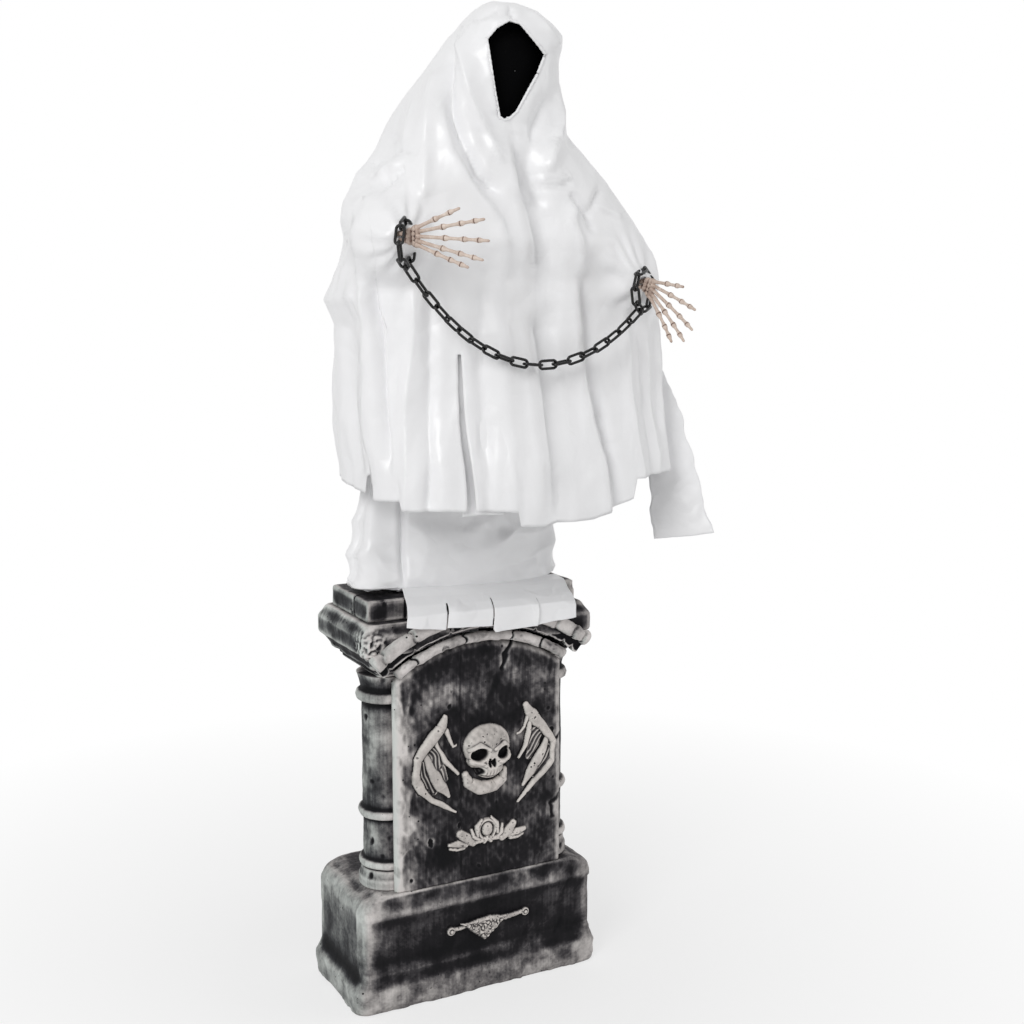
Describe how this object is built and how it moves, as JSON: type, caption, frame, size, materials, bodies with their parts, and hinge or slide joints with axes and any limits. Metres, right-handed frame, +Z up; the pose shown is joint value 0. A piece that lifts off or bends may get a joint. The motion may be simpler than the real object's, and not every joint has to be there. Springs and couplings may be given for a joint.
{
  "type": "animated ghost figure",
  "caption": "Hooded ghost in a ragged white robe with chained skeleton hands, on a mast that rises from a carved tombstone and turns.",
  "frame": {"origin": "middle of the tombstone's foot, on the floor", "axes": "+Z up along the mast, -Y out of the carved front, +X to the viewer's right"},
  "size_m": [0.6034, 0.4766, 1.5251],
  "materials": {
    "painted_stone": "dark grey wash, dry-brushed pale edges, pitted like old stone",
    "dry_brushed_stone": "bone-grey dry brushing over a dark wash",
    "zinc_steel": "zinc plated",
    "white_nylon": "plain",
    "black_plastic": "plain",
    "chain_plastic": "gloss black",
    "white_cloth": "thin shiny white lining cloth",
    "black_cloth": "matt black",
    "red_plastic": "gloss",
    "hardboard": "smooth hardboard",
    "circuit_board": "green lacquer",
    "white_foam": "expanded foam",
    "bone_plastic": "bone colour with brown at the joints"
  },
  "bodies": {
    "tombstone": {"plinth_shell": "painted_stone", "floor_plate": "hardboard", "stele_core": "painted_stone", "stele_panel": "painted_stone", "column_left": "painted_stone", "column_right": "painted_stone", "cornice": "painted_stone", "arch_inner_roll": "painted_stone", "arch_outer_moulding": "painted_stone", "top_block": "painted_stone", "skull_relief": "dry_brushed_stone", "wing_left": "dry_brushed_stone", "wing_right": "dry_brushed_stone", "shell_ornament": "dry_brushed_stone", "scroll_ornament": "dry_brushed_stone", "lift_channel": "zinc_steel", "low_guide": "white_nylon", "top_guide": "white_nylon", "motor_bracket": "zinc_steel", "lift_motor": "zinc_steel", "battery_box": "black_plastic", "door_hinge_pin": "zinc_steel", "switch_plate": "black_plastic", "switch_body": "black_plastic", "control_board": "circuit_board", "skirt_flap": "white_cloth"},
    "door": {"battery_door": "painted_stone"},
    "switch": {"switch_knob": "red_plastic"},
    "pinion": {"lift_pinion": "white_nylon"},
    "mast": {"mast_tube": "zinc_steel", "rack": "zinc_steel", "skirt_hoop": "black_plastic", "turn_motor": "zinc_steel", "underskirt": "white_cloth"},
    "ghost": {"turn_hub": "black_plastic", "spine": "zinc_steel", "shoulder_bar": "zinc_steel", "arm_left": "zinc_steel", "arm_right": "zinc_steel", "hand_left": "bone_plastic", "hand_right": "bone_plastic", "wrist_chain_left": "chain_plastic", "wrist_chain_right": "chain_plastic", "robe": "white_cloth", "hood": "white_cloth", "face_veil": "black_cloth", "head_form": "white_foam"},
    "chain": {"chain_links_01": "chain_plastic", "chain_links_02": "chain_plastic", "chain_links_03": "chain_plastic", "chain_links_04": "chain_plastic", "chain_links_05": "chain_plastic", "chain_links_06": "chain_plastic", "chain_links_07": "chain_plastic", "chain_links_08": "chain_plastic", "chain_links_09": "chain_plastic", "chain_links_10": "chain_plastic"}
  },
  "joints": [
    {"name": "mast_rise", "type": "slide", "parent": "tombstone", "child": "mast", "axis": [0, 0, 1], "range_m": [-0.12, 0], "deforming": ["underskirt"]},
    {"name": "pinion_spin", "type": "hinge", "parent": "tombstone", "child": "pinion", "pos_m": [0, 0.0413, 0.335], "axis": [1, 0, 0], "range_deg": [0, 345]},
    {"name": "body_turn", "type": "hinge", "parent": "mast", "child": "ghost", "pos_m": [0, 0, 1.05], "axis": [0, 0, 1], "range_deg": [-20, 20]},
    {"name": "chain_swing", "type": "hinge", "parent": "ghost", "child": "chain", "pos_m": [-0.17569, -0.22976, 1.15002], "axis": [0.9848, -0.0496, -0.1666], "range_deg": [-20, 3]},
    {"name": "door_swing", "type": "hinge", "parent": "tombstone", "child": "door", "pos_m": [0, 0.1017, 0.064], "axis": [-1, 0, 0], "range_deg": [0, 90]},
    {"name": "switch_slide", "type": "slide", "parent": "tombstone", "child": "switch", "axis": [0, 0, -1], "range_m": [0, 0.0074]}
  ],
  "couplings": [
    {"joint": "pinion_spin", "follows": "mast_rise", "rad_per_m": -50}
  ]
}
